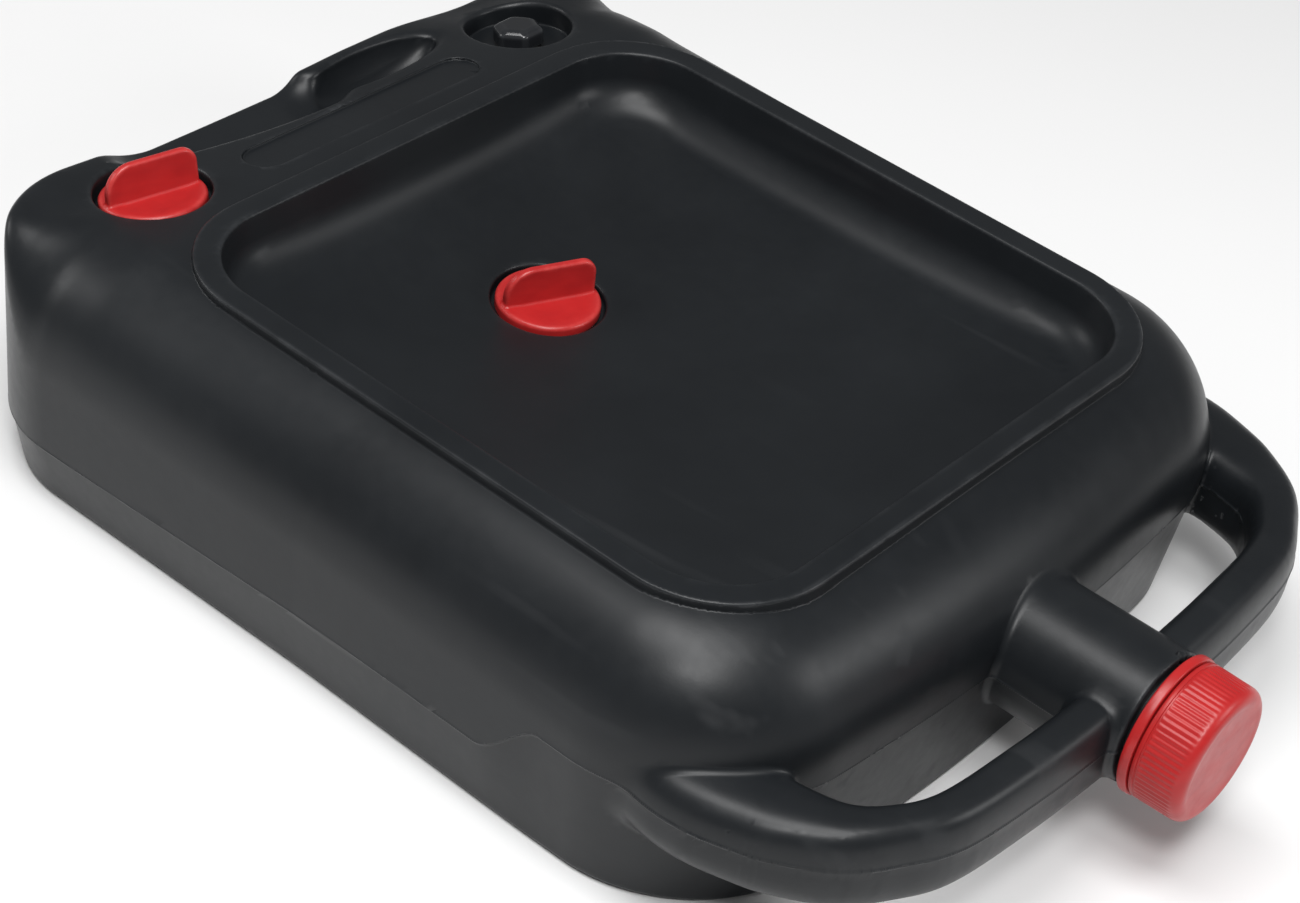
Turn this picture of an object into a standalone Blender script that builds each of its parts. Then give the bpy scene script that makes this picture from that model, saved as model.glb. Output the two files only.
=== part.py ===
"""Oil drain pan: a hollow blow-moulded tank with a catch tray in its top, a
pouring neck with a screw cap, a finger loop round the neck, two winged drain
plugs and a small vent cap. Metres, +Z up.

+X points out of the pouring neck, +Y to the side that holds the vent, and the
origin is at the bottom centre of the box round the whole pan.
"""

import math

import bmesh
import bpy
from mathutils import Matrix, Vector

MM = 0.001
GAP = 0.3 * MM

# Overall sizes
HEIGHT = 124 * MM
HALF_WIDTH = 189 * MM
REAR_FLARE = 5 * MM
REAR = -266.2 * MM
CORNER_FRONT = 162.7 * MM
FRONT_BOW = 11.5 * MM
WALL = 2.6 * MM

# Catch tray
TRAY_REAR = -175.8 * MM
TRAY_FRONT = 123.7 * MM
TRAY_HALF_WIDTH = 140 * MM
TRAY_CORNER = 40 * MM
RIM_WIDTH = 12 * MM
RIM_STEP = 2.2 * MM
TRAY_EDGE_DEPTH = 28 * MM
TRAY_DRAIN_DEPTH = 45 * MM
TRAY_FILLET = 13 * MM
TRAY_DRAFT = 4 * MM

# Outside of the tank
REAR_CORNER_RADIUS = 64 * MM
FRONT_CORNER_RADIUS = 68 * MM
DECK_EDGE_RADIUS = 4 * MM
SHOULDER_RADIUS = 51.5 * MM
SHOULDER_RISE = (-252 * MM, -208 * MM)
BASE_TAPER = 5 * MM
BASE_TAPER_FRONT = 10 * MM
BASE_FILLET = 4 * MM
PARTING_LOW = 28 * MM
PARTING_MID = 36 * MM
PARTING_HIGH = 61 * MM
PARTING_RISE = (48 * MM, 81 * MM)
PARTING_RIDGE = 0.8 * MM
BASE_PANEL_INSET = 26 * MM
BASE_PANEL_DEPTH = 1.6 * MM
DECK_FALL_START = -180.8 * MM
DECK_SLOPE = 0.16

# Pouring neck and finger loop, both centred on the parting plane at the front
NECK_AXIS_Z = 61 * MM
NECK_RADIUS = 30 * MM
NECK_ROOT_END = 235.7 * MM
MOUTH_RADIUS = 24.6 * MM
MOUTH_END = 260.4 * MM
BORE_RADIUS = 21 * MM
THREAD_HEIGHT = 1.8 * MM
CAP_PITCH = 6 * MM
LOOP_HEIGHT = 40 * MM
LOOP_MIDDLE_Z = 56.8 * MM

# Screw cap, its liner and its tamper ring
CAP_RADIUS = 30.4 * MM
CAP_BACK = 243.2 * MM
CAP_FRONT = 266.2 * MM
CAP_WALL = 3 * MM
CAP_SHOULDER = 5 * MM
LINER_THICKNESS = 2 * MM
RING_RADIUS = 31 * MM
RING_BACK = 238.2 * MM
RING_FRONT = 242.6 * MM

# Winged plugs and the holes they close
PLUG_RADIUS = 23.5 * MM
PLUG_HEAD = 5.5 * MM
PLUG_STEM_RADIUS = 14.2 * MM
PLUG_STEM_LENGTH = 14 * MM
PLUG_PITCH = 5 * MM
PLUG_THREAD_HEIGHT = 1.6 * MM
PLUG_RECESS_RADIUS = 25.6 * MM
REAR_RECESS_DEPTH = 7 * MM
TRAY_RECESS_DEPTH = 3.2 * MM
PLUG_HOLE_RADIUS = 16.2 * MM
COLLAR_RADIUS = 21 * MM
COLLAR_DEPTH = 13 * MM
FIN_LENGTH = 43 * MM
FIN_HEIGHT = 17 * MM
FIN_THICKNESS = 4.6 * MM
SEAL_SECTION = 2.4 * MM

# Where the closures sit on the surface round them, and how far their axes lean
DECK_LEAN = -math.atan(DECK_SLOPE)
DECK_HOLE_X = -223.3 * MM
DECK_HOLE_Y = 114 * MM
DECK_HOLE_Z = HEIGHT - DECK_SLOPE * (DECK_FALL_START - DECK_HOLE_X)
REAR_PLUG = Matrix.Translation((DECK_HOLE_X, -DECK_HOLE_Y, DECK_HOLE_Z)) @ Matrix.Rotation(DECK_LEAN, 4, "Y")
REAR_PLUG_TURN = math.radians(-14)
TRAY_PLUG = Matrix.Translation((-92.8 * MM, 0, HEIGHT - TRAY_DRAIN_DEPTH))
TRAY_PLUG_TURN = math.radians(-23)
VENT = Matrix.Translation((DECK_HOLE_X, DECK_HOLE_Y, DECK_HOLE_Z)) @ Matrix.Rotation(DECK_LEAN, 4, "Y")

# Vent cap in its counterbore
VENT_RECESS_RADIUS = 25.6 * MM
VENT_RECESS_DEPTH = 11 * MM
VENT_HOLE_RADIUS = 8.2 * MM
VENT_COLLAR_RADIUS = 12.5 * MM
VENT_COLLAR_DEPTH = 12 * MM
VENT_CAP_RADIUS = 12.5 * MM
VENT_CAP_HEIGHT = 9 * MM
VENT_STEM_RADIUS = 6.6 * MM
VENT_STEM_LENGTH = 12 * MM
VENT_PITCH = 3 * MM
VENT_THREAD_HEIGHT = 1.2 * MM
VENT_SEAL_THICKNESS = 1.6 * MM

# Rear grip: a ledge behind the crest of the deck, with a finger scoop beside it
LEDGE_CREST = -231 * MM
LEDGE_CURVE = 17 * MM
LEDGE_HALF_LENGTH = 98 * MM
LEDGE_FLOOR = 104.5 * MM
SCOOP_CENTRE = (-244.5 * MM, 43 * MM, 113 * MM)
SCOOP_RADII = (12.5 * MM, 33 * MM, 18 * MM)

# Label panel between the two deck holes, left blank
PANEL_X = -211.3 * MM
PANEL_HALF_WIDTH = 10.5 * MM
PANEL_HALF_LENGTH = 70 * MM
PANEL_DEPTH = 0.8 * MM

# Points on each half of an outline: rear edge, rear corner, side, front corner, front edge
OUTLINE_STEPS = (3, 5, 8, 5, 4)
ROUND_STEPS = 32
FACET_SHIFT = math.radians(2)
CUTTER_RISE = 30 * MM


def material(name, colour, roughness):
    mat = bpy.data.materials.new(name)
    mat.use_nodes = True
    shader = mat.node_tree.nodes["Principled BSDF"]
    shader.inputs["Base Color"].default_value = (*colour, 1.0)
    shader.inputs["Roughness"].default_value = roughness
    return mat


def clear_scene():
    for obj in list(bpy.data.objects):
        bpy.data.objects.remove(obj, do_unlink=True)


def finish(bm, name, mat=None, sharp_degrees=35):
    """Turns a bmesh into a named, smooth-shaded object with its faces out."""
    bmesh.ops.recalc_face_normals(bm, faces=bm.faces)
    mesh = bpy.data.meshes.new(name)
    bm.to_mesh(mesh)
    bm.free()
    mesh.shade_smooth()
    mesh.set_sharp_from_angle(angle=math.radians(sharp_degrees))
    obj = bpy.data.objects.new(name, mesh)
    bpy.context.scene.collection.objects.link(obj)
    if mat:
        mesh.materials.append(mat)
    return obj


def boolean(target, tool, operation, solver="EXACT"):
    """Adds a Boolean to target and hides the tool it reads."""
    mod = target.modifiers.new(tool.name, "BOOLEAN")
    mod.operation = operation
    mod.solver = solver
    mod.object = tool
    tool.hide_render = True
    tool.display_type = "WIRE"


def smoothstep(low, high, value):
    t = min(max((value - low) / (high - low), 0.0), 1.0)
    return t * t * (3 - 2 * t)


def skin(rings, name, mat=None):
    """Closed solid through rings of equal length, with its first and last ring filled."""
    bm = bmesh.new()
    rows = [[bm.verts.new(p) for p in ring] for ring in rings]
    count = len(rows[0])
    for low, high in zip(rows, rows[1:]):
        for i in range(count):
            j = (i + 1) % count
            bm.faces.new((low[i], low[j], high[j], high[i]))
    bm.faces.new(rows[0])
    bm.faces.new(rows[-1])
    return finish(bm, name, mat)


def turned(profile, name, mat=None, segments=40, matrix=Matrix()):
    """Solid of revolution about Z through (radius, z) points. A radius of 0
    closes an end, and a profile that starts and ends off the axis is a ring."""
    bm = bmesh.new()
    rows = []
    for radius, z in profile:
        if radius == 0:
            rows.append([bm.verts.new((0, 0, z))] * segments)
            continue
        angles = [2 * math.pi * i / segments for i in range(segments)]
        rows.append([bm.verts.new((radius * math.cos(a), radius * math.sin(a), z)) for a in angles])
    pairs = list(zip(rows, rows[1:]))
    if profile[0][0] != 0:
        pairs.append((rows[-1], rows[0]))
    for low, high in pairs:
        for i in range(segments):
            j = (i + 1) % segments
            corners = dict.fromkeys((low[i], low[j], high[j], high[i]))
            bm.faces.new(tuple(corners))
    bmesh.ops.transform(bm, matrix=matrix, verts=bm.verts)
    return finish(bm, name, mat)


def arc(centre, radius, start, stop, steps):
    """(a, b) points of a circular arc; angles in degrees."""
    points = []
    for i in range(steps + 1):
        angle = math.radians(start + (stop - start) * i / steps)
        points.append((centre[0] + radius * math.cos(angle), centre[1] + radius * math.sin(angle)))
    return points


def thread(name, radius, height, pitch, turns, base, matrix=Matrix(), steps=24):
    """One helical ridge round Z, rooted slightly inside radius, with tapered ends."""
    bm = bmesh.new()
    rows = []
    total = int(turns * steps)
    for i in range(total + 1):
        angle = 2 * math.pi * i / steps + FACET_SHIFT
        grow = min(i, total - i, 4) / 4
        crest = radius + height * (0.15 + 0.85 * grow)
        z = base + pitch * i / steps
        row = []
        for r, dz in ((radius - 0.5 * MM, -1.3), (crest, -0.55), (crest, 0.55), (radius - 0.5 * MM, 1.3)):
            row.append(bm.verts.new((r * math.cos(angle), r * math.sin(angle), z + dz * MM)))
        rows.append(row)
    for low, high in zip(rows, rows[1:]):
        for i in range(4):
            j = (i + 1) % 4
            bm.faces.new((low[i], low[j], high[j], high[i]))
    bm.faces.new(rows[0])
    bm.faces.new(rows[-1])
    bmesh.ops.transform(bm, matrix=matrix, verts=bm.verts)
    return finish(bm, name)


def rounded_outline(rear, front, half_width, rear_radius, front_radius):
    """Plan outline as (x, y) points, anticlockwise from the rear middle on the -Y side."""
    rear_steps, rear_arc, side_steps, front_arc, front_steps = OUTLINE_STEPS
    start, stop = rear + rear_radius, front - front_radius
    half = [(rear, -(half_width - rear_radius) * i / rear_steps) for i in range(rear_steps)]
    half += arc((start, -(half_width - rear_radius)), rear_radius, 180, 270, rear_arc)[:-1]
    half += [(start + (stop - start) * i / side_steps, -half_width) for i in range(side_steps)]
    half += arc((stop, -(half_width - front_radius)), front_radius, 270, 360, front_arc)[:-1]
    for i in range(front_steps + 1):
        half.append((front, -(half_width - front_radius) * (1 - i / front_steps)))
    return half + [(x, -y) for x, y in reversed(half[1:-1])]


def tank_outline(grow, front_inset=0.0):
    """The tank's plan: its front edge bows out and its sides flare towards the rear."""
    rear, front = REAR - grow, CORNER_FRONT + grow - front_inset
    half_width = HALF_WIDTH + grow
    middle = (rear + front) / 2
    outline = []
    plain = rounded_outline(rear, front, half_width, REAR_CORNER_RADIUS + grow, FRONT_CORNER_RADIUS + grow)
    for x, y in plain:
        forward = max(0.0, (x - middle) / (front - middle)) ** 3
        backward = max(0.0, (middle - x) / (middle - rear))
        bow = FRONT_BOW * forward * (1 - (y / half_width) ** 2)
        outline.append((x + bow, y * (1 + REAR_FLARE / HALF_WIDTH * backward)))
    return outline


def tray_outline(grow):
    return rounded_outline(
        TRAY_REAR - grow, TRAY_FRONT + grow, TRAY_HALF_WIDTH + grow, TRAY_CORNER + grow, TRAY_CORNER + grow
    )


def parting_height(x):
    """Height of the parting line, which steps up to the neck's plane at the front."""
    low = PARTING_LOW + (PARTING_MID - PARTING_LOW) * smoothstep(REAR, PARTING_RISE[0], x)
    return low + (PARTING_HIGH - low) * smoothstep(*PARTING_RISE, x)


def deck_drop(x):
    """How far the top has fallen below the rim at x; only the rear deck slopes."""
    return DECK_SLOPE * max(0.0, DECK_FALL_START - x)


def shoulder_radius(x):
    """Radius of the roll from the rim to the wall: tight along the rear of the deck."""
    return DECK_EDGE_RADIUS + (SHOULDER_RADIUS - DECK_EDGE_RADIUS) * smoothstep(*SHOULDER_RISE, x)


def tank_rings(wall=0.0):
    """Rings of the tank's surface, from the tray's drain out over the rim, down
    the wall and under the base. wall moves the surface inwards by that much."""
    rings = []
    foot = tray_outline(-TRAY_DRAFT + wall)
    drain = TRAY_PLUG.translation
    for share in (0.12, 0.3, 0.55, 0.8, 1.0):
        depth = TRAY_DRAIN_DEPTH + (TRAY_EDGE_DEPTH - TRAY_DRAIN_DEPTH) * share**1.6
        scale = share * (1 - TRAY_FILLET / TRAY_HALF_WIDTH)
        rings.append([
            Vector((drain.x + (x - drain.x) * scale, y * scale, HEIGHT - depth - wall))
            for x, y in foot
        ])
    for share, lift in ((0.55, 0.16), (0.9, 0.55)):
        rings.append([
            Vector((
                drain.x + (x - drain.x) * (1 - TRAY_FILLET / TRAY_HALF_WIDTH * (1 - share)),
                y * (1 - TRAY_FILLET / TRAY_HALF_WIDTH * (1 - share)),
                HEIGHT - TRAY_EDGE_DEPTH - wall + TRAY_FILLET * lift,
            ))
            for x, y in foot
        ])
    top = HEIGHT - wall
    for grow, z in ((-0.8 * MM, top - 3 * MM), (0.2 * MM, top - 0.8 * MM), (1.6 * MM, top)):
        rings.append([Vector((x, y, z - deck_drop(x))) for x, y in tray_outline(grow + wall)])

    edge = tray_outline(RIM_WIDTH)
    outer = tank_outline(-wall)
    rings.append([Vector((x, y, top - deck_drop(x))) for x, y in tray_outline(RIM_WIDTH - 1 * MM)])
    steps = 6
    for k in range(steps + 1):
        ring = []
        for (x0, y0), (x1, y1) in zip(edge, outer):
            radius = max(shoulder_radius(x1) - wall, 1 * MM)
            reach = math.hypot(x1 - x0, y1 - y0)
            step = RIM_STEP * smoothstep(*SHOULDER_RISE, x1)
            start = math.asin(max(0.0, (radius - reach) / radius))
            if k == 0:
                share, drop = 0.0, radius * (1 - math.cos(start))
            else:
                angle = start + (math.pi / 2 - start) * k / steps
                share = (reach - radius * (1 - math.sin(angle))) / reach
                drop = radius * (1 - math.cos(angle))
            x, y = x0 + (x1 - x0) * share, y0 + (y1 - y0) * share
            ring.append(Vector((x, y, top - step - drop - deck_drop(x))))
        rings.append(ring)
    rings.append([Vector((x, y, parting_height(x) + 1.2 * MM)) for x, y in outer])
    lower = tank_outline(-wall - PARTING_RIDGE)
    rings.append([Vector((x, y, parting_height(x) - 1.2 * MM)) for x, y in lower])
    front_inset = BASE_TAPER_FRONT - BASE_TAPER
    for degrees in (0, 30, 60, 90):
        angle = math.radians(degrees)
        inset = BASE_TAPER + BASE_FILLET * (1 - math.cos(angle)) + wall
        z = BASE_FILLET * (1 - math.sin(angle)) + wall
        rings.append([Vector((x, y, z)) for x, y in tank_outline(-inset, front_inset)])
    panel_inset = BASE_TAPER + BASE_FILLET + BASE_PANEL_INSET + wall
    panel = tank_outline(-panel_inset, front_inset)
    panel_foot = tank_outline(-panel_inset - 2 * MM, front_inset)
    rings.append([Vector((x, y, wall)) for x, y in panel])
    rings.append([Vector((x, y, wall + BASE_PANEL_DEPTH)) for x, y in panel_foot])
    return rings


def loop_sections():
    """Centre, width and heading along the finger loop, from one side of the tank
    round the front of the neck to the other."""
    half = [
        (98 * MM, -153 * MM, 50 * MM),
        (122 * MM, -160.5 * MM, 48 * MM),
        (141 * MM, -163 * MM, 45.5 * MM),
        (161 * MM, -160 * MM, 40.5 * MM),
        (174 * MM, -157 * MM, 35 * MM),
        (193 * MM, -148 * MM, 27 * MM),
        (205.5 * MM, -133.5 * MM, 22 * MM),
        (215.5 * MM, -111 * MM, 21.5 * MM),
        (219.8 * MM, -69 * MM, 21.8 * MM),
        (221.3 * MM, -35 * MM, 21.8 * MM),
        (221.8 * MM, 0.0, 21.8 * MM),
    ]
    keys = half + [(x, -y, w) for x, y, w in reversed(half[:-1])]
    sections = []
    per_span = 2
    for k in range(len(keys) - 1):
        before, here = keys[max(k - 1, 0)], keys[k]
        there, after = keys[k + 1], keys[min(k + 2, len(keys) - 1)]
        for step in range(per_span):
            t = step / per_span
            point = []
            for a, b, c, d in zip(before, here, there, after):
                point.append(
                    b + 0.5 * t * (c - a)
                    + t * t * (a - 2.5 * b + 2 * c - 0.5 * d)
                    + t**3 * (1.5 * (b - c) + 0.5 * (d - a))
                )
            sections.append(point)
    sections.append(list(keys[-1]))
    return sections


def finger_loop(name, wall=0.0):
    """Rounded bar swept along the loop; wall makes the hollow inside it."""
    sections = loop_sections()
    rings = []
    for i, (x, y, width) in enumerate(sections):
        before = sections[max(i - 1, 0)]
        after = sections[min(i + 1, len(sections) - 1)]
        heading = Vector((after[0] - before[0], after[1] - before[1], 0)).normalized()
        across = Vector((heading.y, -heading.x, 0))
        ring = []
        for k in range(12):
            angle = 2 * math.pi * (k + 0.5) / 12
            side = math.copysign(abs(math.cos(angle)) ** 0.7, math.cos(angle))
            lift = math.copysign(abs(math.sin(angle)) ** 0.7, math.sin(angle))
            offset = across * side * (width / 2 - wall)
            offset.z = lift * (LOOP_HEIGHT / 2 - wall)
            ring.append(Vector((x, y, LOOP_MIDDLE_Z)) + offset)
        rings.append(ring)
    return skin(rings, name)


ALONG_X = Matrix.Translation((0, 0, NECK_AXIS_Z)) @ Matrix.Rotation(math.pi / 2, 4, "Y")


def neck(name):
    """Outside of the neck: a wide root and a threaded mouth."""
    profile = [(0, 130 * MM), (NECK_RADIUS + 1 * MM, 130 * MM), (NECK_RADIUS, NECK_ROOT_END - 2 * MM)]
    profile += [(NECK_RADIUS - 1.6 * MM, NECK_ROOT_END), (MOUTH_RADIUS, NECK_ROOT_END)]
    profile += [(MOUTH_RADIUS, MOUTH_END - 1 * MM), (MOUTH_RADIUS - 1 * MM, MOUTH_END), (0, MOUTH_END)]
    body = turned(profile, name, matrix=ALONG_X)
    ridge = thread(
        "neck_thread", MOUTH_RADIUS, THREAD_HEIGHT, CAP_PITCH, 1.8, MOUTH_END - 14 * MM, ALONG_X, 32
    )
    boolean(body, ridge, "UNION")
    return body


def ledge_cutter(name, grow=0.0):
    """Block behind the curved crest of the deck, over the -Y half."""
    bm = bmesh.new()
    crest = []
    steps = 10
    for i in range(steps + 1):
        y = -LEDGE_HALF_LENGTH + (LEDGE_HALF_LENGTH + 3 * MM) * i / steps
        x = LEDGE_CREST - LEDGE_CURVE * (y / LEDGE_HALF_LENGTH) ** 2 + grow
        crest.append((x, y + (grow if i == steps else 0.0)))
    plan = crest + [(REAR - 20 * MM, 3 * MM + grow), (REAR - 20 * MM, -LEDGE_HALF_LENGTH)]
    floor = LEDGE_FLOOR - grow
    bottom = [bm.verts.new((x, y, floor)) for x, y in plan]
    top = [bm.verts.new((x + 3 * MM, y, HEIGHT + 10 * MM)) for x, y in plan]
    count = len(plan)
    for i in range(count):
        j = (i + 1) % count
        bm.faces.new((bottom[i], bottom[j], top[j], top[i]))
    bm.faces.new(bottom)
    bm.faces.new(top)
    return finish(bm, name)


def scoop_cutter(name, grow=0.0):
    bm = bmesh.new()
    bmesh.ops.create_uvsphere(bm, u_segments=24, v_segments=12, radius=1.0)
    radii = Vector(SCOOP_RADII) + Vector((grow, grow, grow))
    bmesh.ops.scale(bm, vec=radii, verts=bm.verts)
    bmesh.ops.translate(bm, vec=SCOOP_CENTRE, verts=bm.verts)
    return finish(bm, name)


def panel_cutter(name):
    """Rounded strip that sinks the blank label panel into the sloping deck."""
    bm = bmesh.new()
    radius = PANEL_HALF_WIDTH
    plan = arc((0, PANEL_HALF_LENGTH - radius), radius, 0, 180, 8)
    plan += arc((0, -PANEL_HALF_LENGTH + radius), radius, 180, 360, 8)
    bottom = [bm.verts.new((x, y, -PANEL_DEPTH)) for x, y in plan]
    top = [bm.verts.new((x, y, 5 * MM)) for x, y in plan]
    count = len(plan)
    for i in range(count):
        j = (i + 1) % count
        bm.faces.new((bottom[i], bottom[j], top[j], top[i]))
    bm.faces.new(bottom)
    bm.faces.new(top)
    lean = Matrix.Rotation(DECK_LEAN, 4, "Y")
    place = Matrix.Translation((PANEL_X, 0, HEIGHT - deck_drop(PANEL_X)))
    bmesh.ops.transform(bm, matrix=place @ lean, verts=bm.verts)
    return finish(bm, name)


def stepped_cutter(name, steps, site, facet_shift=0.0):
    """Coaxial steps of (radius, lowest z) in the site's own frame, widest first.
    facet_shift turns the facets so that no two coaxial cutters line up."""
    profile = [(0, CUTTER_RISE)]
    level = CUTTER_RISE
    for radius, low in steps:
        profile += [(radius, level), (radius, low)]
        level = low
    profile.append((0, level))
    place = site @ Matrix.Rotation(facet_shift, 4, "Z")
    return turned(profile, name, segments=ROUND_STEPS, matrix=place)


def plug_cutters(label, site, recess_depth):
    """Backing left in the hollow round a plug's hole, and the stepped hole itself."""
    floor = -recess_depth
    collar = (COLLAR_RADIUS, floor - COLLAR_DEPTH)
    backing = stepped_cutter(f"{label}_backing", ((PLUG_RECESS_RADIUS + WALL, floor - WALL), collar), site)
    seat = (PLUG_HOLE_RADIUS + SEAL_SECTION + 0.8 * MM, floor - SEAL_SECTION)
    hole = (PLUG_HOLE_RADIUS, floor - COLLAR_DEPTH - 5 * MM)
    steps = ((PLUG_RECESS_RADIUS, floor), seat, hole)
    opening = stepped_cutter(f"{label}_hole", steps, site, FACET_SHIFT)
    return backing, opening


def vent_cutters():
    """The same for the vent's counterbore."""
    floor = -VENT_RECESS_DEPTH
    collar = (VENT_COLLAR_RADIUS, floor - VENT_COLLAR_DEPTH)
    backing = stepped_cutter("vent_backing", ((VENT_RECESS_RADIUS + WALL, floor - WALL), collar), VENT)
    hole = (VENT_HOLE_RADIUS, floor - VENT_COLLAR_DEPTH - 5 * MM)
    opening = stepped_cutter("vent_hole", ((VENT_RECESS_RADIUS, floor), hole), VENT, FACET_SHIFT)
    return backing, opening


def tank_hollow():
    """All that is cut from the tank: its chamber, the loop's hollow, the neck's
    bore, the holes of the closures, the rear grip and the label panel."""
    hollow = skin(tank_rings(WALL), "tank_hollow")
    sites = [
        plug_cutters("rear_plug", REAR_PLUG, REAR_RECESS_DEPTH),
        plug_cutters("tray_plug", TRAY_PLUG, TRAY_RECESS_DEPTH),
        vent_cutters(),
    ]
    backings = [backing for backing, _ in sites]
    backings += [ledge_cutter("ledge_backing", WALL), scoop_cutter("scoop_backing", WALL)]
    for backing in backings:
        boolean(hollow, backing, "DIFFERENCE", "MANIFOLD")
    profile = [(0, 120 * MM), (BORE_RADIUS, 120 * MM), (BORE_RADIUS, MOUTH_END + 10 * MM)]
    profile.append((0, MOUTH_END + 10 * MM))
    place = ALONG_X @ Matrix.Rotation(FACET_SHIFT, 4, "Z")
    bore = turned(profile, "neck_bore", segments=ROUND_STEPS, matrix=place)
    cutters = [finger_loop("loop_hollow", WALL), bore] + [opening for _, opening in sites]
    cutters += [ledge_cutter("ledge"), scoop_cutter("scoop"), panel_cutter("label_panel")]
    for cutter in cutters:
        boolean(hollow, cutter, "UNION", "MANIFOLD")
    return hollow


def build_tank(mat):
    """The blow-moulded tank, one hollow shell with the tray in its top."""
    tank = skin(tank_rings(), "tank_body", mat)
    boolean(tank, finger_loop("loop_outside"), "UNION")
    boolean(tank, neck("neck_outside"), "UNION")
    boolean(tank, tank_hollow(), "DIFFERENCE", "MANIFOLD")
    return tank


def fin(name, turn, low):
    """Finger wing of a plug: a flat tab with rounded upper corners."""
    bm = bmesh.new()
    half = FIN_LENGTH / 2
    corner = 9 * MM
    outline = [(-half, low), (half, low)]
    outline += arc((half - corner, FIN_HEIGHT - corner), corner, 0, 90, 6)
    outline += arc((-half + corner, FIN_HEIGHT - corner), corner, 90, 180, 6)
    front = [bm.verts.new((a, -FIN_THICKNESS / 2, b)) for a, b in outline]
    back = [bm.verts.new((a, FIN_THICKNESS / 2, b)) for a, b in outline]
    count = len(outline)
    for i in range(count):
        j = (i + 1) % count
        bm.faces.new((front[i], front[j], back[j], back[i]))
    bm.faces.new(front)
    bm.faces.new(back)
    bmesh.ops.rotate(bm, matrix=Matrix.Rotation(turn + math.pi / 2, 3, "Z"), verts=bm.verts)
    tab = finish(bm, name)
    bevel = tab.modifiers.new("round", "BEVEL")
    bevel.width = 1.2 * MM
    bevel.segments = 2
    bevel.limit_method = "ANGLE"
    bevel.angle_limit = math.radians(50)
    return tab


def stand(obj, site, height):
    """Puts an object's origin on a site's axis, height above the surface there."""
    obj.matrix_world = site @ Matrix.Translation((0, 0, height))


def build_plug(name, site, recess_depth, turn, mat):
    """Winged plug. Its own z = 0 is the underside of the head."""
    edge = 2 * MM
    profile = [(0, -PLUG_STEM_LENGTH), (PLUG_STEM_RADIUS - 1 * MM, -PLUG_STEM_LENGTH)]
    profile += [(PLUG_STEM_RADIUS, -PLUG_STEM_LENGTH + 1 * MM), (PLUG_STEM_RADIUS, 0)]
    profile += [(PLUG_RADIUS - 0.6 * MM, 0), (PLUG_RADIUS, 0.6 * MM)]
    profile += arc((PLUG_RADIUS - edge, PLUG_HEAD - edge), edge, 0, 90, 3)
    profile += [(0, PLUG_HEAD)]
    plug = turned(profile, name, mat)
    ridge = thread(
        f"{name}_thread", PLUG_STEM_RADIUS, PLUG_THREAD_HEIGHT, PLUG_PITCH, 1.6, -PLUG_STEM_LENGTH + 2.4 * MM
    )
    boolean(plug, ridge, "UNION")
    tab = fin(f"{name}_fin", turn, -2 * MM)
    tab.data.transform(Matrix.Translation((0, 0, PLUG_HEAD)))
    boolean(plug, tab, "UNION")
    for obj in (plug, ridge, tab):
        stand(obj, site, -recess_depth + GAP)
    return plug


def build_plug_seal(name, site, recess_depth, mat):
    """O-ring between a plug's head and the floor of its recess."""
    radius = SEAL_SECTION / 2 - 0.15 * MM
    middle = PLUG_HOLE_RADIUS + SEAL_SECTION / 2 + 0.4 * MM
    section = arc((middle, 0.0), radius, 0, 360, 10)[:-1]
    ring = turned(section, name, mat, segments=40)
    stand(ring, site, -recess_depth - SEAL_SECTION / 2 + 0.15 * MM)
    return ring


def build_vent_cap(mat):
    """Six-sided domed cap on a threaded stem, its own z = 0 under the head."""
    seat = -VENT_RECESS_DEPTH + VENT_SEAL_THICKNESS + 2 * GAP
    profile = [(0, -VENT_STEM_LENGTH), (VENT_STEM_RADIUS - 0.8 * MM, -VENT_STEM_LENGTH)]
    profile += [(VENT_STEM_RADIUS, -VENT_STEM_LENGTH + 0.8 * MM), (VENT_STEM_RADIUS, 1 * MM), (0, 1 * MM)]
    cap = turned(profile, "vent_cap", mat, segments=32)
    ridge = thread(
        "vent_cap_thread", VENT_STEM_RADIUS, VENT_THREAD_HEIGHT, VENT_PITCH, 2.2, -VENT_STEM_LENGTH + 2 * MM
    )
    boolean(cap, ridge, "UNION")
    bm = bmesh.new()
    rings = []
    levels = ((VENT_CAP_RADIUS, 0.0), (VENT_CAP_RADIUS, 4.5 * MM))
    levels += ((VENT_CAP_RADIUS - 1.6 * MM, 7.5 * MM), (VENT_CAP_RADIUS - 4.5 * MM, VENT_CAP_HEIGHT))
    for radius, z in levels:
        angles = [math.pi / 6 + math.pi / 3 * i for i in range(6)]
        rings.append([bm.verts.new((radius * math.cos(a), radius * math.sin(a), z)) for a in angles])
    for low, high in zip(rings, rings[1:]):
        for i in range(6):
            j = (i + 1) % 6
            bm.faces.new((low[i], low[j], high[j], high[i]))
    bm.faces.new(rings[0])
    bm.faces.new(rings[-1])
    head = finish(bm, "vent_cap_head")
    bevel = head.modifiers.new("round", "BEVEL")
    bevel.width = 1.2 * MM
    bevel.segments = 2
    bevel.limit_method = "ANGLE"
    bevel.angle_limit = math.radians(25)
    boolean(cap, head, "UNION")
    for obj in (cap, ridge, head):
        stand(obj, VENT, seat)
    return cap


def build_vent_seal(mat):
    """Flat washer under the vent cap's head."""
    inner, outer = VENT_HOLE_RADIUS + 0.2 * MM, VENT_CAP_RADIUS - 1.8 * MM
    profile = [(inner, 0), (outer, 0), (outer, VENT_SEAL_THICKNESS), (inner, VENT_SEAL_THICKNESS)]
    washer = turned(profile, "vent_seal", mat, segments=32)
    stand(washer, VENT, -VENT_RECESS_DEPTH + GAP)
    return washer


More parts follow.
